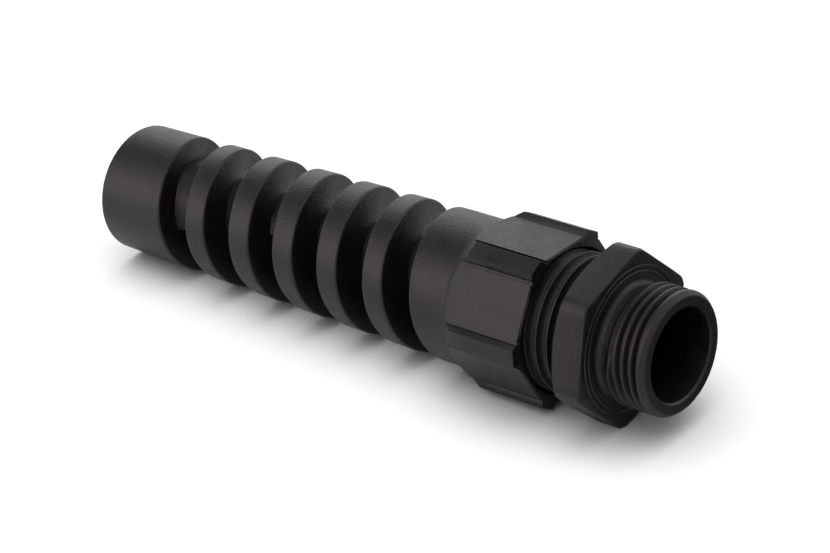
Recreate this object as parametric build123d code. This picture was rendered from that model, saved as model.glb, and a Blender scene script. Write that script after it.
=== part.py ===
"""Cable gland with a spiral bend-protection sleeve, moulded in black polyamide.

The gland axis is X: the entry thread points to +X and the sleeve to -X. Z is up.
The origin is the centre of the flange's seating face. All sizes are in millimetres.
Each piece is built on an upright axis (local Z is the gland axis) and laid down at the end.
"""
from build123d import *
import math
import os

# Entry thread and flange of the gland body
THREAD_DIAMETER = 20.0
THREAD_REACH = 9.5
THREAD_LEAD_IN = 0.7
NECK_DIAMETER = 17.6
NECK_LENGTH = 2.3
ENTRY_BORE = 15.0
ENTRY_BORE_CHAMFER = 0.5
ACROSS_FLATS = 25.0
HEX_LENGTH = 5.3
HEX_EDGE_BREAK = 0.2
HEX_BEVEL_ANGLE = 62.0
LIP_DIAMETER = 22.3
LIP_WIDTH = 1.2
LIP_HEIGHT = 0.25
LIP_GROOVE = 0.4
BODY_CLOCKING = 11.2

# Cap thread, clamping fingers and the seal's seat on the body
CAP_THREAD_DIAMETER = 22.6
UNDERCUT_DIAMETER = 20.8
UNDERCUT_LENGTH = 1.3
CAP_THREAD_END = 15.0
CAP_THREAD_CHAMFER = 0.5
FINGER_COUNT = 8
FINGER_DIAMETER = 20.2
FINGER_TIP_DIAMETER = 18.8
FINGER_LENGTH = 6.0
FINGER_SLOT = 1.2

# Sealing insert
SEAL_BORE = 12.0
SEAL_WALL = 2.2
SEAL_LENGTH = 8.1
SEAL_CHAMFER = 0.6
SEAL_CLEARANCE = 0.3

# Nut end of the spiral nut
NUT_CLOCKING = -5.1
NUT_GAP = 6.45
NUT_LENGTH = 15.45
THREAD_CLEARANCE = 0.3
NUT_MOUTH_CHAMFER = 0.4
NUT_THREAD_DEPTH = 11.8
NUT_CONE_LENGTH = 7.5
NUT_CONE_END_DIAMETER = 15.0
LAND_RISE = 1.55
LAND_APOTHEM = ACROSS_FLATS / 2 + LAND_RISE
LAND_WIDTH = 2.6
FLAT_WIDTH = 9.1
CORNER_GROOVE_WIDTH = 0.45
CORNER_GROOVE_DEPTH = 0.3
SHOULDER_ANGLE = 38.0

# The flange's turned corners stay this far inside the nut's lands
CORNER_SETBACK = 0.2
HEX_CORNER_DIAMETER = 2 * (LAND_APOTHEM - CORNER_SETBACK)

# Sleeve with its spiral groove, which leaves a thin tube round the cable
COLLAR_DIAMETER = 24.2
TIP_DIAMETER = 21.4
SLEEVE_LENGTH = 77.45
COLLAR_LENGTH = 7.5
CABLE_BORE = 11.0
TIP_ROUNDING = 0.9
MOUTH_ROUNDING = 1.5
SPIRAL_PITCH = 10.0
SPIRAL_TURNS = 5.72
GROOVE_WIDTH = 5.46
GROOVE_DRAFT = 6.0
GROOVE_WALL = 1.2
GROOVE_TIP_LAND = 13.25
GROOVE_TIP_ANGLE = 9.3

# Cutting allowances: how far a cutter runs past a surface, and how far two neighbours overlap
OVERCUT = 0.75
CUTTER_OVERLAP = 0.005

# A rounded rim is turned as this many short cones
ROUNDING_STEPS = 3

# Stations on the gland axis, worked out from the sizes above
HEX_BACK = -HEX_LENGTH
CAP_THREAD_STOP = -CAP_THREAD_END
FINGER_TIP = CAP_THREAD_STOP - FINGER_LENGTH
NUT_MOUTH = HEX_BACK - NUT_GAP
NUT_SHOULDER = NUT_MOUTH - NUT_LENGTH
SLEEVE_TIP = NUT_SHOULDER - SLEEVE_LENGTH
SEAL_RADIUS = SEAL_BORE / 2 + SEAL_WALL
SEAT_RADIUS = SEAL_RADIUS + SEAL_CLEARANCE
SEAL_FRONT = FINGER_TIP + SEAL_LENGTH - SEAL_CHAMFER
SEAT_FLOOR = SEAL_FRONT + SEAL_CLEARANCE


def revolved(points):
    """A full turn of a closed outline given as (radius, station) points."""
    outline = make_face(Polyline(*[(r, 0, z) for r, z in points], close=True))
    return revolve(outline, Axis.Z, 360)


def tube(outer_radius, inner_radius, low, high):
    """A plain ring between two stations on the axis."""
    ring = Circle(outer_radius) - Circle(inner_radius)
    return extrude(Plane.XY.offset(low) * ring, high - low)


def hex_angles(clocking):
    """Directions of the six flats, turned from straight up by the clocking."""
    return [90 + clocking + 60 * i for i in range(6)]


def polar(radius, degrees):
    """A point in the section plane."""
    angle = math.radians(degrees)
    return (radius * math.cos(angle), radius * math.sin(angle))


def cone_cutter(radius, station, slope_angle):
    """The solid inside a cone that has this radius at this station and widens towards the entry end."""
    reach = ACROSS_FLATS
    far_radius = radius + reach * math.tan(math.radians(slope_angle))
    far = station + reach
    return revolved([(0, station), (radius, station), (far_radius, far), (0, far)])


def rounded_rim(radius, station, size):
    """Points round a rim's corner, from the end face to the side. A negative size rounds a bore's mouth."""
    points = []
    for i in range(ROUNDING_STEPS + 1):
        angle = math.pi / 2 * i / ROUNDING_STEPS
        across = radius - size * (1 - math.sin(angle))
        points.append((across, station + abs(size) * (1 - math.cos(angle))))
    return points


def flange_hexagon():
    """The spanner hexagon, with turned corners and a shoulder behind."""
    across_corners = ACROSS_FLATS / math.cos(math.pi / 6)
    section = RegularPolygon(across_corners / 2, 6, rotation=BODY_CLOCKING)
    prism = extrude(Plane.XY.offset(HEX_BACK) * section, HEX_LENGTH - LIP_HEIGHT)
    corners = Plane.XY.offset(HEX_BACK) * Cylinder(
        HEX_CORNER_DIAMETER / 2, HEX_LENGTH, align=(Align.CENTER, Align.CENTER, Align.MIN)
    )
    back = cone_cutter(ACROSS_FLATS / 2 - HEX_EDGE_BREAK, HEX_BACK, HEX_BEVEL_ANGLE)
    return prism & corners & back


def sealing_lip():
    """The raised ring round the thread that seats on the wall, with a fine groove along it."""
    outer = LIP_DIAMETER / 2 + LIP_WIDTH / 2
    inner = LIP_DIAMETER / 2 - LIP_WIDTH / 2
    lip = tube(outer, inner, -LIP_HEIGHT * 2, 0)
    groove_half = LIP_GROOVE / 2
    groove = tube(LIP_DIAMETER / 2 + groove_half, LIP_DIAMETER / 2 - groove_half, -LIP_HEIGHT, OVERCUT)
    return lip - groove


def gland_body():
    """Entry thread, flange hexagon, cap thread and clamping fingers in one moulding."""
    thread = THREAD_DIAMETER / 2
    neck = NECK_DIAMETER / 2
    cap_thread = CAP_THREAD_DIAMETER / 2
    undercut = UNDERCUT_DIAMETER / 2
    finger = FINGER_DIAMETER / 2
    tip = FINGER_TIP_DIAMETER / 2
    undercut_end = HEX_BACK - UNDERCUT_LENGTH
    outline = [
        (0, THREAD_REACH),
        (thread - THREAD_LEAD_IN, THREAD_REACH),
        (thread, THREAD_REACH - THREAD_LEAD_IN),
        (thread, NECK_LENGTH),
        (neck, NECK_LENGTH - (thread - neck) / 2),
        (neck, -HEX_LENGTH / 2),
        (undercut, -HEX_LENGTH / 2),
        (undercut, undercut_end),
        (cap_thread, undercut_end - CAP_THREAD_CHAMFER),
        (cap_thread, CAP_THREAD_STOP + CAP_THREAD_CHAMFER),
        (finger, CAP_THREAD_STOP),
        (finger, (CAP_THREAD_STOP + FINGER_TIP) / 2),
        (tip, FINGER_TIP),
        (0, FINGER_TIP),
    ]
    body = revolved(outline) + flange_hexagon() + sealing_lip()
    bore = ENTRY_BORE / 2
    passage = [
        (0, THREAD_REACH + OVERCUT),
        (bore + ENTRY_BORE_CHAMFER + OVERCUT, THREAD_REACH + OVERCUT),
        (bore, THREAD_REACH - ENTRY_BORE_CHAMFER),
        (bore, SEAT_FLOOR),
        (SEAT_RADIUS, SEAT_FLOOR),
        (SEAT_RADIUS, FINGER_TIP - OVERCUT),
        (0, FINGER_TIP - OVERCUT),
    ]
    body -= revolved(passage)
    slot_root = CAP_THREAD_STOP - FINGER_SLOT / 2
    slot_length = slot_root - FINGER_TIP + OVERCUT
    slot = Box(CAP_THREAD_DIAMETER, FINGER_SLOT, slot_length, align=(Align.MIN, Align.CENTER, Align.MAX))
    for i in range(FINGER_COUNT):
        body -= Rot(0, 0, 360 * i / FINGER_COUNT) * Pos(0, 0, slot_root) * slot
    return body


def sealing_insert():
    """The soft bush that the fingers press on the cable."""
    outer = SEAL_RADIUS
    inner = SEAL_BORE / 2
    back = SEAL_FRONT - SEAL_LENGTH
    return revolved([
        (inner + SEAL_CHAMFER, SEAL_FRONT),
        (outer, SEAL_FRONT),
        (outer, back + SEAL_CHAMFER),
        (outer - SEAL_CHAMFER, back),
        (inner + SEAL_CHAMFER, back),
        (inner, back + SEAL_CHAMFER),
        (inner, SEAL_FRONT - SEAL_CHAMFER),
    ])


def nut_section():
    """The nut's cross-section: six recessed flats between grooved corner lands."""
    apothem = ACROSS_FLATS / 2
    half_flat = FLAT_WIDTH / 2
    groove_end = half_flat + CORNER_GROOVE_WIDTH
    floor = apothem - CORNER_GROOVE_DEPTH
    land_radius = math.hypot(LAND_APOTHEM, LAND_WIDTH / 2)
    land_angle = 30 - math.degrees(math.atan2(LAND_WIDTH / 2, LAND_APOTHEM))
    edge = [(-half_flat, apothem), (half_flat, apothem), (half_flat, floor), (groove_end, floor)]
    edge.append((groove_end, apothem))
    points = []
    for direction in reversed(hex_angles(NUT_CLOCKING)):
        points.append(polar(land_radius, direction + land_angle))
        points.append(polar(math.hypot(groove_end, apothem), direction + math.degrees(math.atan2(groove_end, apothem))))
        points.append(polar(math.hypot(groove_end, floor), direction + math.degrees(math.atan2(groove_end, floor))))
        for across, out in edge:
            points.append(polar(math.hypot(across, out), direction - math.degrees(math.atan2(across, out))))
        points.append(polar(land_radius, direction - land_angle))
    return make_face(Polyline(*points, close=True))


def groove_cutters():
    """Cutters of about a turn each that together take out the spiral groove.

    The flanks are drafted, so that the groove narrows towards its floor.
    """
    pieces = math.ceil(SPIRAL_TURNS)
    turns = SPIRAL_TURNS / pieces
    length = SPIRAL_PITCH * turns
    middle = (COLLAR_DIAMETER + TIP_DIAMETER) / 4
    floor = CABLE_BORE / 2 + GROOVE_WALL
    outer = COLLAR_DIAMETER / 2 + OVERCUT
    slope = math.tan(math.radians(GROOVE_DRAFT))
    floor_half = GROOVE_WIDTH / 2 - (middle - floor) * slope
    outer_half = GROOVE_WIDTH / 2 + (outer - middle) * slope
    cutters = []
    for i in range(pieces):
        low = SLEEVE_TIP + GROOVE_TIP_LAND + length * i
        profile = Polyline(
            (floor, 0, low - floor_half),
            (outer, 0, low - outer_half),
            (outer, 0, low + outer_half),
            (floor, 0, low + floor_half),
            close=True,
        )
        path = Helix(SPIRAL_PITCH, length + CUTTER_OVERLAP, outer, center=(0, 0, low))
        cutter = sweep(make_face(profile), path, is_frenet=True)
        cutters.append(Rot(0, 0, GROOVE_TIP_ANGLE + 360 * turns * i) * cutter)
    return cutters


def spiral_nut():
    """Domed nut and spiral sleeve in one moulding, with the groove cut last."""
    collar = COLLAR_DIAMETER / 2
    tip = TIP_DIAMETER / 2
    rim = rounded_rim(tip, SLEEVE_TIP, TIP_ROUNDING)
    sleeve = revolved([
        (0, SLEEVE_TIP),
        *rim,
        (collar, NUT_SHOULDER - COLLAR_LENGTH),
        (collar, NUT_MOUTH - OVERCUT),
        (0, NUT_MOUTH - OVERCUT),
    ])
    prism = extrude(Plane.XY.offset(NUT_SHOULDER) * nut_section(), NUT_LENGTH)
    prism &= cone_cutter(collar, NUT_SHOULDER, SHOULDER_ANGLE)
    bore = CABLE_BORE / 2
    cavity = CAP_THREAD_DIAMETER / 2 + THREAD_CLEARANCE
    cone_start = NUT_MOUTH - NUT_THREAD_DEPTH
    cone_end = cone_start - NUT_CONE_LENGTH
    hollow = revolved([
        (0, NUT_MOUTH + OVERCUT),
        (cavity + NUT_MOUTH_CHAMFER + OVERCUT, NUT_MOUTH + OVERCUT),
        (cavity, NUT_MOUTH - NUT_MOUTH_CHAMFER),
        (cavity, cone_start),
        (NUT_CONE_END_DIAMETER / 2, cone_end),
        (bore, cone_end),
        *reversed(rounded_rim(bore, SLEEVE_TIP, -MOUTH_ROUNDING)),
        (bore + MOUTH_ROUNDING, SLEEVE_TIP - OVERCUT),
        (0, SLEEVE_TIP - OVERCUT),
    ])
    nut = sleeve + prism - hollow
    for cutter in groove_cutters():
        nut -= cutter
    return nut


LAID_DOWN = Plane(origin=(0, 0, 0), x_dir=(0, 1, 0), z_dir=(1, 0, 0)).location

os.makedirs("parts", exist_ok=True)
for name, make in (
    ("gland_body", gland_body),
    ("sealing_insert", sealing_insert),
    ("spiral_nut", spiral_nut),
):
    piece = LAID_DOWN * make()
    piece.label = name
    export_step(piece, f"parts/{name}.step")
    print(name, round(piece.volume), "mm3", len(piece.solids()), "solid")
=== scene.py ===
import math

import bmesh
import bpy
import numpy as np
from mathutils import Matrix, Vector


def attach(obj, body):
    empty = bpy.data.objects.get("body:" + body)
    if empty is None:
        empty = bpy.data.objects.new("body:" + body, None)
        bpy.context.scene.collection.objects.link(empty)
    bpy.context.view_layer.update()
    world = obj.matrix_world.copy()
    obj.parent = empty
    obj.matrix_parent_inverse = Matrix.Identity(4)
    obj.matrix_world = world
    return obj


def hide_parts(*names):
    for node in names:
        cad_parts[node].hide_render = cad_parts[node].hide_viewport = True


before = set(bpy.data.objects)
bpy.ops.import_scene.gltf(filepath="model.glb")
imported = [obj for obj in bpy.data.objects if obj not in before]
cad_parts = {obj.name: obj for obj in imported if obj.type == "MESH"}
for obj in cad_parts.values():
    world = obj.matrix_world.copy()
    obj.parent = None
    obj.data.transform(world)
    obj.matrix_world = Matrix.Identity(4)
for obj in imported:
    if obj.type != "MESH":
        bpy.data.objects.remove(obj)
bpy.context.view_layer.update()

# Sizes are in millimetres and angles in degrees, until MM and np.radians turn them into metres and radians.
# A station is a place along the gland's axis: 0 is the sealing face, and the sleeve runs towards -X.
MM = 0.001

# Entry thread, the neck behind it and the bore through both
THREAD_R, THREAD_ROOT_R, THREAD_PITCH, THREAD_END = 9.95, 9.0, 1.5, 9.5
THREAD_RUN_OUT, THREAD_RUN_IN, THREAD_PHASE = 0.2, 1.0, 150
NECK_R, NECK_END, NECK_STEP, NECK_FILLET = 8.8, 2.3, 0.35, 0.95
ENTRY_BORE_R, BORE_CHAMFER = 7.5, 0.34
LEAD_DROP, LEAD_LENGTH, LEAD_LAND, LEAD_FOOT = 0.62, 0.8, 1.25, 1.5

# Body hexagon: half its width, its faces, the radius that cuts its corners off and the bevel at its back
BODY_FLAT, HEX_BACK, HEX_FRONT, HEX_CORNER_R = 12.75, -5.5, 0.15, 14.35
BODY_TURN = 11.2
BACK_BEVEL, BACK_EDGE = 62, 0.15
FRONT_BEVEL_START, FRONT_BEVEL = 13.5, 0.3
HEX_CORE_R, FACE_INNER_R, FACE_OUTER_R = 9.5, 11.6, 12.3

# The turned core's face stands a hair proud of the hexagon's, so that the two don't flicker
CORE_FACE, CORE_FACE_R = HEX_FRONT + 0.03, 10.45

# The double ring on the hexagon's face: where each ridge stands, and its outline as
# (height, distance from the middle)
RING_RADII = 10.72, 11.62
RING_HEIGHT = 0.75
RING_OUTLINE = ((-0.15, -0.32), (0.03, -0.27), (0.14, -0.13), (0.17, 0),
                (0.14, 0.13), (0.03, 0.27), (-0.15, 0.32))

# Cap thread, which carries the nut, and the fingers behind it
CAP_ROOT_R, CAP_THREAD_R, CAP_PITCH, CAP_END = 10.1, 11.35, 2.1, -15.0
CAP_RUN_OUT, CAP_RUN_IN, CAP_PHASE = 0.4, 0.9, 60
FINGER_TIP, FINGER_R, FINGER_TIP_R = -21.0, 10.1, 9.4
SEAT_R, SEAT_FLOOR = 8.5, -13.2

# One side of each thread's ridge from its foot to near its crest, as (distance in pitches, height from 0 to 1)
ENTRY_RIDGE = ((0.62, 0), (0.5, 0.02), (0.36, 0.12), (0.24, 0.42), (0.17, 0.8), (0.1, 0.97))
CAP_RIDGE = ((0.5, 0), (0.36, 0.04), (0.24, 0.2), (0.15, 0.6), (0.09, 0.93))
RIDGE_SINK = 0.15

# Nut hexagon: half its width, half a flat's width, the grooves beside the corner lands and the lands
NUT_TURN = -5.1
FLAT, FLAT_HALF, FLAT_MIDDLE = 12.5, 4.54, -20.0
SIDE_GROOVE, SIDE_GROOVE_DEPTH, SIDE_GROOVE_LIP = 0.45, 0.3, 0.12
LAND, LAND_HALF, LAND_EASE, LAND_MIDDLE = 14.3, 1.3, 0.03, 2.0

# Nut mouth, the hollow behind it and the shoulder where the hexagon runs into the collar
MOUTH, MOUTH_R, RIM_R, RIM_INNER_R, RIM_LIFT = -11.75, 12.07, 13.1, 12.7, 0.12
CAVITY_R, CONE_START, CONE_LENGTH, CONE_END_R = 11.6, MOUTH - 11.8, 7.5, 7.5
SHOULDER, SHOULDER_SLOPE = -27.2, math.tan(math.radians(38))

# Sleeve and the bore through it
SLEEVE_TIP, TIP_ROUND, MOUTH_ROUND = -104.65, 0.22, 1.5
COLLAR_R, TIP_R, TAPER_START = 12.1, 10.86, -34.7
BORE_R, BORE_MIDDLE = 5.5, -67.0

# The helical groove. Its angle is unrolled: it starts at FIRST by the end cap and ends at LAST by the collar.
PITCH, SLOT_HALF, DRAFT = 10.0, 2.73, math.tan(math.radians(6))
SLOT_TURNS, SLOT_LOW, SLOT_ANGLE = 5.72, -91.4, 9.3
FIRST, LAST = SLOT_ANGLE, SLOT_ANGLE + 360 * SLOT_TURNS

# The rounding of the groove's edges as (along, drop), and the wedge width at which it reaches its full size
ROUND, ROUND_FULL = 0.38, 0.9
EDGE = [(ROUND * (1 - math.sin(t)), ROUND * (1 - math.cos(t))) for t in np.linspace(0, math.pi / 2, 5)]

# How the groove departs from a plain one, each as (unrolled angle, millimetres)
MIDDLE_DRIFT = (
    (9.3, -0.8), (49, -1.0), (139, -0.2), (230, -0.9), (320, -1.0), (409, -0.95), (499, 0.1), (590, -0.25),
    (680, -0.6), (769, -0.75), (859, 0.3), (950, -0.2), (1040, -0.4), (1129, -0.5), (1219, 0.2), (1310, -0.4),
    (1400, -0.4), (1489, -0.4), (1579, 0.07), (1670, -0.5), (1760, -0.5), (1849, -0.5), (1939, -0.16),
    (2068.5, 0.0))
HALF_WIDER = (
    (9.3, 0.4), (139, 0.4), (499, 0.15), (859, -0.04), (1219, -0.06), (1579, 0.05), (1939, 0.1), (2068.5, 0.0))
FLOOR_RADIUS = (
    (FIRST, 7.6), (90, 7.6), (110, 7.0), (175, 7.0), (183, 7.2), (184.2, 6.35), (873, 6.3), (874.2, 6.05),
    (LAST, 6.05))
CAP_SIDE_LIFT = (
    (FIRST, 0.0), (90, 0.0), (110, 0.6), (175, 0.6), (183, 0.4), (184.2, 0.0), (840, 0.0), (848, 0.35),
    (873, 0.35), (874.2, 0.0))

# How finely the round forms are divided
CORE_SIDES, RING_SIDES, FLAT_STEPS, CORNER_STEPS = 192, 160, 15, 5
NUT_FLAT_STEPS, COLUMN_STEP, COLUMN_GAP = 13, 2.0, 0.6


def ring(x, r, angles):
    """Points at stations x and radii r round the gland's axis, at angles in radians."""
    x = np.broadcast_to(np.asarray(x, float), angles.shape)
    r = np.broadcast_to(np.asarray(r, float), angles.shape)
    return np.stack([x, r * np.cos(angles), r * np.sin(angles)], axis=-1)


def place(x, r, degrees):
    """The same at angles in degrees."""
    return ring(x, r, np.radians(degrees))


def lathe(outline, angles):
    """One ring for each (x, r) of an outline, where each may be a number or one value an angle."""
    return np.array([ring(x, r, angles) for x, r in outline])


def even_angles(count):
    return np.arange(count) * 2 * math.pi / count


def read(table, angle):
    """The value at an angle in a table of (angle, value), in straight lines between its rows."""
    return np.interp(angle, [row[0] for row in table], [row[1] for row in table])


class Shape:
    """Collects grids and faces, then makes one mesh of them."""

    def __init__(self):
        self.points, self.faces, self.count = [], [], 0

    def grid(self, rows, around=False, closed=False):
        """Quads between rows of points. Around joins the last column to the first, closed the last row."""
        n, m = rows.shape[:2]
        base = self.count
        self.points.append(rows.reshape(-1, 3))
        self.count += n * m
        for i in range(n if closed else n - 1):
            k = (i + 1) % n
            for j in range(m if around else m - 1):
                q = (j + 1) % m
                self.faces.append((base + i * m + j, base + i * m + q, base + k * m + q, base + k * m + j))

    def polygon(self, loop):
        base = self.count
        self.points.append(np.asarray(loop, float))
        self.count += len(loop)
        self.faces.append(tuple(range(base, base + len(loop))))

    def build(self, name, sharp=32, merge=2e-6):
        """Merges points within merge metres, and shades edges that bend by more than sharp degrees as sharp."""
        mesh = bpy.data.meshes.new(name)
        points = np.concatenate(self.points) * MM
        bm = bmesh.new()
        verts = [bm.verts.new(p) for p in points]
        for f in self.faces:
            try:
                bm.faces.new([verts[i] for i in f])
            except ValueError:
                pass
        bmesh.ops.remove_doubles(bm, verts=bm.verts, dist=merge)
        bmesh.ops.dissolve_degenerate(bm, edges=bm.edges, dist=merge)
        loose = [v for v in bm.verts if not v.link_faces]
        bmesh.ops.delete(bm, geom=loose, context="VERTS")
        bmesh.ops.recalc_face_normals(bm, faces=bm.faces)
        for f in bm.faces:
            f.smooth = True
        limit = math.radians(sharp)
        for e in bm.edges:
            if len(e.link_faces) == 2 and e.calc_face_angle(0) > limit:
                e.smooth = False
        open_edges = sum(1 for e in bm.edges if len(e.link_faces) != 2)
        print("mesh", name, len(bm.verts), "points", len(bm.faces), "faces", open_edges, "open edges")
        bm.to_mesh(mesh)
        bm.free()
        obj = bpy.data.objects.new(name, mesh)
        bpy.context.scene.collection.objects.link(obj)
        return obj


def rounded(path, steps=4):
    """A closed outline of (x, r, rounding) corners with each corner rounded."""
    out = []
    n = len(path)
    for i, (x, r, rad) in enumerate(path):
        p = np.array([x, r], float)
        if rad <= 0:
            out.append(tuple(p))
            continue
        a = np.array(path[i - 1][:2], float) - p
        b = np.array(path[(i + 1) % n][:2], float) - p
        ua, ub = a / np.linalg.norm(a), b / np.linalg.norm(b)
        half = math.acos(max(-1, min(1, float(ua @ ub)))) / 2
        cut = rad / math.tan(half)
        centre = p + (ua + ub) / np.linalg.norm(ua + ub) * rad / math.sin(half)
        start, end = p + ua * cut - centre, p + ub * cut - centre
        t0, t1 = math.atan2(start[1], start[0]), math.atan2(end[1], end[0])
        turn = (t1 - t0 + math.pi) % (2 * math.pi) - math.pi
        for k in range(steps + 1):
            t = t0 + turn * k / steps
            out.append((centre[0] + rad * math.cos(t), centre[1] + rad * math.sin(t)))
    return out


def thread(shape, root, crest, pitch, start, end, phase, half_ridge, step=3.0, fade=40.0):
    """A helical ridge that stands on a root cylinder, and fades in and out over the angle fade."""
    profile = [(-along, height) for along, height in half_ridge] + [(0, 1.0)] + list(reversed(half_ridge))
    turns = (end - start) / pitch
    t = np.linspace(0, turns * 2 * math.pi, int(turns * 360 / step))
    swell = np.clip(np.minimum(t, t[-1] - t) / math.radians(fade), 0, 1)
    swell = swell * swell * (3 - 2 * swell)
    rows = []
    for along, height in profile:
        x = start + pitch * t / (2 * math.pi) + along * pitch
        r = root - RIDGE_SINK
        if height > 0:
            r = r + (height * (crest - root) + RIDGE_SINK) * swell
        rows.append(ring(x, r, t + math.radians(phase)))
    rows = np.array(rows)
    shape.grid(rows, closed=True)
    shape.polygon(rows[:, 0])
    shape.polygon(rows[:, -1])


# The gland body: a turned core, the hexagon, the double sealing ring and two threads
def body_core():
    """The core's outline, from corners given as (station, radius, rounding)."""
    return rounded([
        (THREAD_END, ENTRY_BORE_R + BORE_CHAMFER, 0.05),
        (THREAD_END, THREAD_R - LEAD_DROP, 0.5),
        (THREAD_END - LEAD_LENGTH, THREAD_R, 0.5),
        (THREAD_END - LEAD_LAND, THREAD_R, 0.12),
        (THREAD_END - LEAD_FOOT, THREAD_ROOT_R, 0.12),
        (NECK_END, THREAD_ROOT_R, 0.3),
        (NECK_END - NECK_STEP, NECK_R, 0.3),
        (CORE_FACE, NECK_R, NECK_FILLET),
        (CORE_FACE, CORE_FACE_R, 0.03),
        (HEX_FRONT - 1, CAP_ROOT_R, 0),
        (CAP_END + 0.3, CAP_ROOT_R, 0.1),
        (CAP_END, FINGER_R, 0.1),
        ((CAP_END + FINGER_TIP) / 2, FINGER_R, 0.3),
        (FINGER_TIP, FINGER_TIP_R, 0.2),
        (FINGER_TIP, SEAT_R, 0.2),
        (SEAT_FLOOR, SEAT_R, 0.2),
        (SEAT_FLOOR, ENTRY_BORE_R, 0.2),
        (THREAD_END - 0.3, ENTRY_BORE_R, 0.05),
    ])


def body_hexagon():
    """The hexagon's rings, with its corners cut to a circle and its edges bevelled."""
    edge = math.degrees(math.acos(BODY_FLAT / HEX_CORNER_R))
    sides = []
    for k in range(6):
        flat = 90 + BODY_TURN + 60 * k
        for a in np.linspace(-edge, edge, FLAT_STEPS):
            sides.append((flat + a, BODY_FLAT / math.cos(math.radians(a))))
        for a in np.linspace(edge, 60 - edge, CORNER_STEPS)[1:-1]:
            sides.append((flat + a, HEX_CORNER_R))
    sides = np.array(sides)
    angles, rad = np.radians(sides[:, 0]), sides[:, 1]
    bevel = (rad - BODY_FLAT + BACK_EDGE) / math.tan(math.radians(BACK_BEVEL))
    front = np.maximum(0, rad - FRONT_BEVEL_START) * FRONT_BEVEL
    return lathe([
        (HEX_FRONT, HEX_CORE_R),
        (HEX_FRONT, FACE_INNER_R),
        (HEX_FRONT, np.minimum(rad, FACE_OUTER_R)),
        (HEX_FRONT, rad - 0.16 - front),
        (HEX_FRONT - 0.05, rad - 0.06 - front * 0.6),
        (HEX_FRONT - 0.17 - front * 0.8, rad),
        (HEX_BACK + bevel + BACK_EDGE, rad),
        (HEX_BACK + bevel - 0.05, rad - BACK_EDGE),
        (HEX_BACK, BODY_FLAT - 0.2),
        (HEX_BACK, HEX_CORE_R),
    ], angles)


def make_body():
    shape = Shape()
    shape.grid(lathe(body_core(), even_angles(CORE_SIDES)), around=True, closed=True)
    shape.grid(body_hexagon(), around=True, closed=True)
    for radius in RING_RADII:
        outline = [(HEX_FRONT + height * RING_HEIGHT, radius + offset) for height, offset in RING_OUTLINE]
        shape.grid(lathe(outline, even_angles(RING_SIDES)), around=True, closed=True)
    thread(shape, THREAD_ROOT_R, THREAD_R, THREAD_PITCH, NECK_END + THREAD_RUN_OUT, THREAD_END - THREAD_RUN_IN,
           THREAD_PHASE, ENTRY_RIDGE)
    thread(shape, CAP_ROOT_R, CAP_THREAD_R, CAP_PITCH, CAP_END + CAP_RUN_OUT, HEX_BACK - CAP_RUN_IN,
           CAP_PHASE, CAP_RIDGE)
    return shape.build("body_mesh")


# The spiral nut: one closed skin, whose columns of points run the whole length of the sleeve
def nut_corners():
    """Points of the nut's hexagon as (angle, radius): flats, side grooves and the lands at the corners."""
    edge = math.degrees(math.atan2(FLAT_HALF, FLAT))
    floor = FLAT - SIDE_GROOVE_DEPTH
    wall = FLAT_HALF + SIDE_GROOVE
    wall_angle = math.degrees(math.atan2(wall, floor))
    land_r = math.hypot(LAND, LAND_HALF) - LAND_EASE
    land_half = math.degrees(math.atan2(LAND_HALF, LAND))
    half = (
        (edge + 0.25, math.hypot(FLAT_HALF, floor)),
        (wall_angle - 0.2, math.hypot(wall, floor)),
        (wall_angle + 0.1, math.hypot(wall, FLAT + SIDE_GROOVE_LIP)),
        (30 - land_half - 0.4, land_r),
        (30 - land_half + 0.4, land_r),
        (30 - LAND_MIDDLE, LAND / math.cos(math.radians(LAND_MIDDLE))),
    )
    points = []
    for k in range(6):
        flat = 90 + NUT_TURN + 60 * k
        for a in np.linspace(-edge, edge, NUT_FLAT_STEPS):
            points.append((flat + a, FLAT / math.cos(math.radians(a))))
        points += [(flat + a, r) for a, r in half]
        points.append((flat + 30, LAND))
        points += [(flat + 60 - a, r) for a, r in reversed(half)]
    return sorted((a % 360, r) for a, r in points)


def nut_profile():
    """The angles of the columns and the nut's outline at each, in order from the slot's lower end."""
    corners = nut_corners()
    angles = np.array([a for a, r in corners])
    radii = np.array([r for a, r in corners])
    extra = []
    wanted = np.arange(0, 360, COLUMN_STEP)
    for w in list(wanted) + [FIRST % 360, LAST % 360]:
        gap = np.abs((angles - w + 180) % 360 - 180).min()
        if gap > COLUMN_GAP or w not in wanted:
            extra.append(w)
    around = np.concatenate([angles - 360, angles, angles + 360])
    angles = np.concatenate([angles, extra])
    radii = np.concatenate([radii, np.interp(extra, around, np.concatenate([radii] * 3))])
    order = np.argsort(angles)
    angles, radii = angles[order], radii[order]
    start = int(np.argmin(np.abs(angles - SLOT_ANGLE)))
    return np.concatenate([angles[start:], angles[:start] + 360]), np.concatenate([radii[start:], radii[:start]])


def columns(angles, start):
    """The column angles of one full turn from start, both ends included, and their order."""
    a = np.mod(angles - start + 1e-6, 360) - 1e-6
    order = np.argsort(a)
    return np.append(a[order], 360.0) + start, np.append(order, order[0])


def sleeve_r(x):
    """The sleeve's outer radius at a station: straight by the collar, then tapering to the tip."""
    t = np.clip((TAPER_START - np.asarray(x, float)) / (TAPER_START - SLEEVE_TIP), 0, 1)
    return COLLAR_R - (COLLAR_R - TIP_R) * t


def slot_x(angle):
    """Station of the groove's middle."""
    return SLOT_LOW + PITCH * (np.asarray(angle) - SLOT_ANGLE) / 360 + read(MIDDLE_DRIFT, angle)


def slot_half(angle):
    """Half the groove's width."""
    return SLOT_HALF + read(HALF_WIDER, angle)


def groove_edge(sign, angle):
    """Station of the groove's edge on the cap side (sign 1) or the collar side (sign -1)."""
    return slot_x(angle) - sign * slot_half(angle)


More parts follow.
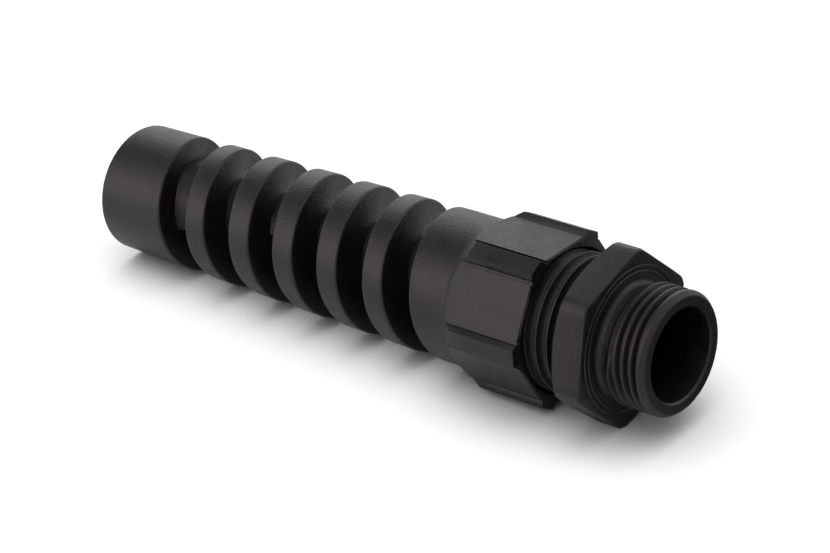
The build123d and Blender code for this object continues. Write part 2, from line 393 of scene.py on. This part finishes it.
def groove_side(sign, centre, edge_x, edge_r, angle):
    """Rows from a groove edge down its flank and over the floor to the groove's centre line."""
    lift = read(CAP_SIDE_LIFT, angle) if sign > 0 else 0.0
    foot = read(FLOOR_RADIUS, angle) + lift
    foot_x = centre - sign * (slot_half(angle) - (sleeve_r(centre) - foot) * DRAFT)
    rows = []
    for s in (0.33, 0.67, 1.0):
        rows.append(place(edge_x + (foot_x - edge_x) * s, edge_r + (foot - edge_r) * s, angle))
    for s in (0.5, 1.0):
        rows.append(place(foot_x + (centre - foot_x) * s, foot - lift * s, angle))
    return rows


def edge_rows(edge, inward, ramp, angle):
    """Rows over a rounded groove edge, from the skin to the flank. Inward is -1 where the skin is towards -X."""
    rows = []
    for along, drop in EDGE:
        x = edge + inward * along * ramp
        rows.append(place(x, sleeve_r(x) - drop * ramp, angle))
    return rows


def end_spacing(sign):
    """Where an end skin starts, its growth in a turn, and its points across the groove's end and the land."""
    start = FIRST if sign > 0 else LAST
    base = groove_edge(sign, start)
    full = sign * (groove_edge(sign, start + sign * 360) - base)
    across = 2 * slot_half(start)
    return base, full, list(np.linspace(0, across, 5)), list(np.linspace(across, full - ROUND, 6))


def end_skin(sign, turn):
    """The wedge that grows by one pitch round the end cap (sign 1) or the collar (sign -1)."""
    base, full, gap, land = end_spacing(sign)
    grown = sign * (groove_edge(sign, turn) - base)
    ramp = np.clip(grown / ROUND_FULL, 0, 1)
    usable = (grown - ROUND * ramp) / (full - ROUND)
    rows = []
    for along in gap[1:] + land[1:-1]:
        x = base + sign * usable * along
        rows.append(place(x, sleeve_r(x), turn))
    edge = base + sign * grown
    rows += edge_rows(edge, -sign, ramp, turn)
    return rows + groove_side(sign, slot_x(turn), edge, sleeve_r(edge) - ROUND * ramp, turn)


def end_wall(shape, sign):
    """The groove's end, a plane through the axis."""
    angle = np.array(FIRST if sign > 0 else LAST)
    centre = slot_x(angle)
    near, far = groove_edge(sign, angle), groove_edge(-sign, angle)
    loop = [place(near + sign * s, sleeve_r(near + sign * s), angle) for s in end_spacing(sign)[2]]
    loop += groove_side(-sign, centre, far, sleeve_r(far), angle)
    loop += groove_side(sign, centre, near, sleeve_r(near), angle)[-2::-1]
    shape.polygon(loop)


def end_cap(shape, angles):
    """From the middle of the bore out of the cable outlet, over the tip and along the cap to the groove."""
    turn, _ = columns(angles, FIRST)
    outline = [(x, BORE_R) for x in np.linspace(BORE_MIDDLE, SLEEVE_TIP + MOUTH_ROUND, 6)[:-1]]
    for t in np.linspace(math.pi / 2, 0, 7):
        outline.append((SLEEVE_TIP + MOUTH_ROUND * (1 - math.cos(t)), BORE_R + MOUTH_ROUND * (1 - math.sin(t))))
    for t in np.linspace(0, math.pi / 2, 6):
        outline.append((SLEEVE_TIP + TIP_ROUND * (1 - math.cos(t)), TIP_R - TIP_ROUND * (1 - math.sin(t))))
    for x in np.linspace(SLEEVE_TIP + TIP_ROUND, end_spacing(1)[0], 7)[1:]:
        outline.append((x, sleeve_r(x)))
    rows = [place(x, r, turn) for x, r in outline]
    shape.grid(np.array(rows + end_skin(1, turn)))
    end_wall(shape, 1)


def spiral(shape, angles):
    """The land between one turn of the groove and the next, with a flank and half a floor on each side."""
    first_turn = columns(angles, FIRST)[0][:-1]
    run = np.concatenate([first_turn + 360 * k for k in range(int(SLOT_TURNS) + 1)])
    run = run[run < LAST - 360 - 0.05]
    run = np.append(run, LAST - 360)
    left, right = groove_edge(-1, run), groove_edge(1, run + 360)
    ramp_l = np.clip((run - FIRST) / 360 * PITCH / ROUND_FULL, 0, 1)
    ramp_r = np.clip((LAST - 360 - run) / 360 * PITCH / ROUND_FULL, 0, 1)
    rows = groove_side(-1, slot_x(run), left, sleeve_r(left) - ROUND * ramp_l, run)[::-1]
    rows += edge_rows(left, 1, ramp_l, run)[::-1]
    a, b = left + ROUND * ramp_l, right - ROUND * ramp_r
    for s in np.linspace(0, 1, 6)[1:-1]:
        x = a + (b - a) * s
        rows.append(place(x, sleeve_r(x), run))
    rows += edge_rows(right, -1, ramp_r, run)
    rows += groove_side(1, slot_x(run + 360), right, sleeve_r(right) - ROUND * ramp_r, run + 360)
    shape.grid(np.array(rows))


def collar_and_nut(shape, angles, radii):
    """From the middle of the bore through the hollow, out of the mouth and over the nut to the groove."""
    turn, order = columns(angles, LAST - 360)
    rim = radii[order]
    crease = SHOULDER + (rim - COLLAR_R) / SHOULDER_SLOPE
    outline = [(x, COLLAR_R) for x in np.linspace(end_spacing(-1)[0], SHOULDER - 0.25, 4)]
    outline += [
        (SHOULDER - 0.02, COLLAR_R + 0.03),
        (SHOULDER + 0.2, COLLAR_R + 0.2 * SHOULDER_SLOPE),
        (crease - 0.11, rim - 0.11 * SHOULDER_SLOPE),
        (crease + 0.1, rim),
        (FLAT_MIDDLE, rim),
        (MOUTH - 0.1, rim),
        (MOUTH, rim - 0.1),
        (MOUTH + 0.02, np.minimum(RIM_R, rim - 0.2)),
        (MOUTH + RIM_LIFT, np.minimum(RIM_INNER_R, rim - 0.3)),
        (MOUTH + RIM_LIFT, MOUTH_R - 0.24),
        (MOUTH + RIM_LIFT / 2, MOUTH_R - 0.3),
        (MOUTH - 0.5, CAVITY_R),
    ]
    outline += [(x, CAVITY_R) for x in np.linspace(MOUTH - 2, CONE_START, 4)]
    outline.append((CONE_START - CONE_LENGTH, CONE_END_R))
    outline += [(x, BORE_R) for x in np.linspace(CONE_START - CONE_LENGTH, BORE_MIDDLE, 5)]
    rows = [place(x, r, turn) for x, r in reversed(outline)]
    shape.grid(np.array(rows + end_skin(-1, turn)))
    end_wall(shape, -1)


def make_nut():
    shape = Shape()
    angles, radii = nut_profile()
    end_cap(shape, angles)
    spiral(shape, angles)
    collar_and_nut(shape, angles, radii)
    return shape.build("nut_mesh")


gland_body = make_body()
gland_body.name = "body_skin"
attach(gland_body, "body")
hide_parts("gland_body")
spiral_nut = make_nut()
spiral_nut.name = "nut_skin"
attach(spiral_nut, "nut")
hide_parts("spiral_nut")


class Nodes:
    """Short calls for a node tree, where an input is a plain value or another node's output."""

    def __init__(self, tree):
        self.tree = tree

    def feed(self, socket, value):
        if isinstance(value, bpy.types.NodeSocket):
            self.tree.links.new(value, socket)
        else:
            socket.default_value = value

    def add(self, kind, inputs, **settings):
        n = self.tree.nodes.new(kind)
        for key, value in settings.items():
            setattr(n, key, value)
        for key, value in inputs.items():
            self.feed(n.inputs[key], value)
        return n

    def math(self, operation, *values):
        return self.add("ShaderNodeMath", dict(enumerate(values)), operation=operation).outputs[0]


# Materials
BLACK = (0.003, 0.0017, 0.0015)
RUBBER_BLACK = (0.004, 0.004, 0.004)
ROUGH_SPREAD, TONE_SPREAD = 0.065, 0.15
GRAIN_STRENGTH, GRAIN_HEIGHT = 0.8, 0.00011


def moulded(name, colour, rough, grain_scale):
    """A moulded black surface: fine mould grain, and a broad mottle in its sheen and tone."""
    mat = bpy.data.materials.new(name)
    mat.use_nodes = True
    nodes = Nodes(mat.node_tree)
    shader = mat.node_tree.nodes["Principled BSDF"]
    shader.inputs["Specular IOR Level"].default_value = 0.5
    shader.inputs["Specular Tint"].default_value = (1.0, 0.91, 0.925, 1)
    where = nodes.add("ShaderNodeTexCoord", {}).outputs["Object"]
    mottle = nodes.add("ShaderNodeTexNoise", {
        "Vector": where, "Scale": 420.0, "Detail": 6.0, "Roughness": 0.7}).outputs["Fac"]
    grain = nodes.add("ShaderNodeTexNoise", {
        "Vector": where, "Scale": grain_scale, "Detail": 4.0, "Roughness": 0.65}).outputs["Fac"]
    sheen = nodes.add("ShaderNodeMapRange", {
        "Value": mottle, "From Min": 0.3, "From Max": 0.7,
        "To Min": rough - ROUGH_SPREAD, "To Max": rough + ROUGH_SPREAD})
    nodes.feed(shader.inputs["Roughness"], sheen.outputs["Result"])
    tone = nodes.add("ShaderNodeValToRGB", {"Fac": mottle})
    for element, position, factor in zip(tone.color_ramp.elements, (0.3, 0.7), (1 - TONE_SPREAD, 1 + TONE_SPREAD)):
        element.position = position
        element.color = [c * factor for c in colour] + [1]
    nodes.feed(shader.inputs["Base Color"], tone.outputs["Color"])
    bump = nodes.add("ShaderNodeBump", {"Strength": GRAIN_STRENGTH, "Distance": GRAIN_HEIGHT, "Height": grain})
    nodes.feed(shader.inputs["Normal"], bump.outputs["Normal"])
    return mat


body_mat = moulded("polyamide_body", BLACK, 0.4, 2400.0)
nut_mat = moulded("polyamide_nut", BLACK, 0.36, 2400.0)
seal_mat = moulded("elastomer", RUBBER_BLACK, 0.75, 2500.0)
gland_body.data.materials.append(body_mat)
spiral_nut.data.materials.append(nut_mat)
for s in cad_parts["sealing_insert"].material_slots:
    s.material = seal_mat


# The camera stands where the photograph was taken from
PHOTO_WIDTH, FOCAL_PIXELS, SENSOR = 830, 3015.4, 36
CAMERA_RIGHT = Vector((0.75754, 0.63546916, -0.14937778))
CAMERA_UP = Vector((-0.24029, 0.48421145, 0.84131064))
CAMERA_AT = 0.25109, -0.29204, 0.25119

cam_data = bpy.data.cameras.new("camera")
cam_data.sensor_width = SENSOR
cam_data.lens = FOCAL_PIXELS / PHOTO_WIDTH * SENSOR
cam_data.clip_start, cam_data.clip_end = 0.01, 10
camera = bpy.data.objects.new("camera", cam_data)
camera_axes = zip(CAMERA_RIGHT, CAMERA_UP, CAMERA_RIGHT.cross(CAMERA_UP), CAMERA_AT)
camera.matrix_world = Matrix((*camera_axes, (0, 0, 0, 1)))
bpy.context.scene.collection.objects.link(camera)
bpy.context.scene.camera = camera


# Floor: the plane through the three places that the part lies on
TOUCH = (Vector((-0.1038, 0, -0.01071)), Vector((-0.0245, 0.0049, -0.01322)), Vector((-0.0046, -0.0034, -0.01344)))
FLOOR_SIZE = 3.0
FLOOR_SEEN = 1.0
# As the part sees it: grey, fading to dark where both fades are past their ends, each (axis, start, end) in metres
FLOOR_GREY, FLOOR_DARK = 0.66, 0.1
FLOOR_FADES = (("X", -0.008, 0.014), ("Y", -0.012, 0.008))


def make_floor():
    normal = (TOUCH[1] - TOUCH[0]).cross(TOUCH[2] - TOUCH[0]).normalized()
    if normal.z < 0:
        normal = -normal
    along = normal.orthogonal().normalized()
    across = normal.cross(along)
    corners = [TOUCH[1] + along * a * FLOOR_SIZE + across * b * FLOOR_SIZE
               for a, b in ((-1, -1), (1, -1), (1, 1), (-1, 1))]
    mesh = bpy.data.meshes.new("floor")
    mesh.from_pydata(corners, [], [(0, 1, 2, 3)])
    obj = bpy.data.objects.new("floor", mesh)
    bpy.context.scene.collection.objects.link(obj)
    return obj


def floor_material():
    """White to the camera. The part reflects a grey table that is dark beyond the entry thread."""
    mat = bpy.data.materials.new("floor")
    mat.use_nodes = True
    nodes = Nodes(mat.node_tree)
    shader = mat.node_tree.nodes["Principled BSDF"]
    shader.inputs["Roughness"].default_value = 1.0
    shader.inputs["Specular IOR Level"].default_value = 0.0
    where = nodes.add("ShaderNodeTexCoord", {}).outputs["Object"]
    place_xyz = nodes.add("ShaderNodeSeparateXYZ", {0: where})
    fades = [nodes.add("ShaderNodeMapRange", {"Value": place_xyz.outputs[axis], "From Min": start, "From Max": end},
                       interpolation_type="SMOOTHSTEP").outputs[0] for axis, start, end in FLOOR_FADES]
    beyond = nodes.math("MULTIPLY", *fades)
    shade = nodes.add("ShaderNodeMapRange", {"Value": beyond, "To Min": FLOOR_GREY, "To Max": FLOOR_DARK}).outputs[0]
    to_camera = nodes.add("ShaderNodeLightPath", {}).outputs["Is Camera Ray"]
    mix = nodes.add("ShaderNodeMix", {0: to_camera, 2: shade, 3: FLOOR_SEEN})
    nodes.feed(shader.inputs["Base Color"], mix.outputs[0])
    return mat


floor = make_floor()
floor.data.materials.append(floor_material())


# Soft studio light. What the part reflects is a white tent with brighter and darker parts, each given as
# (azimuth, elevation, width, strength). What lights the floor is a dome that is brightest overhead.
TENT_LEVEL = 0.9
TENT_PARTS = (
    (-137, 27, 15, 1.2),
    (176, 48, 22, -0.8),
    (129, 24, 11, 1.2),
    (0, 15, 45, -0.4),
    (-126, 20, 8, 0.55),
    (-88, 42, 11, 1.8),
    (52, 12, 15, 1.0),
)
DOME_LEVEL, DOME_TOP, DOME_POWER = 0.2, 2.9, 4.0


def make_world():
    world = bpy.data.worlds.new("studio")
    bpy.context.scene.world = world
    world.use_nodes = True
    nodes = Nodes(world.node_tree)
    where = nodes.add("ShaderNodeTexCoord", {}).outputs["Generated"]
    level = TENT_LEVEL
    for azimuth, elevation, width, strength in TENT_PARTS:
        a, e = math.radians(azimuth), math.radians(elevation)
        towards = (math.cos(e) * math.cos(a), math.cos(e) * math.sin(a), math.sin(e))
        dot = nodes.add("ShaderNodeVectorMath", {0: where, 1: towards}, operation="DOT_PRODUCT").outputs["Value"]
        sharp = 1 / math.radians(width) ** 2
        fall_off = nodes.math("EXPONENT", nodes.math("MULTIPLY_ADD", dot, sharp, -sharp))
        level = nodes.math("MULTIPLY_ADD", fall_off, strength, level)
    tent = world.node_tree.nodes["Background"]
    nodes.feed(tent.inputs["Color"], (1, 1, 1, 1))
    nodes.feed(tent.inputs["Strength"], level)
    rays = nodes.add("ShaderNodeLightPath", {})
    height = nodes.add("ShaderNodeSeparateXYZ", {0: where}).outputs["Z"]
    glow = nodes.math("MULTIPLY_ADD", nodes.math("POWER", height, DOME_POWER), DOME_TOP, DOME_LEVEL)
    white_to_camera = nodes.math("MAXIMUM", glow, rays.outputs["Is Camera Ray"])
    dome = nodes.add("ShaderNodeBackground", {"Color": (1, 1, 1, 1), "Strength": white_to_camera})
    choice = nodes.add("ShaderNodeMixShader", {
        0: rays.outputs["Is Glossy Ray"], 1: dome.outputs[0], 2: tent.outputs[0]})
    nodes.feed(world.node_tree.nodes["World Output"].inputs["Surface"], choice.outputs[0])


make_world()

bpy.context.scene.view_settings.view_transform = "Standard"
bpy.context.view_layer.update()
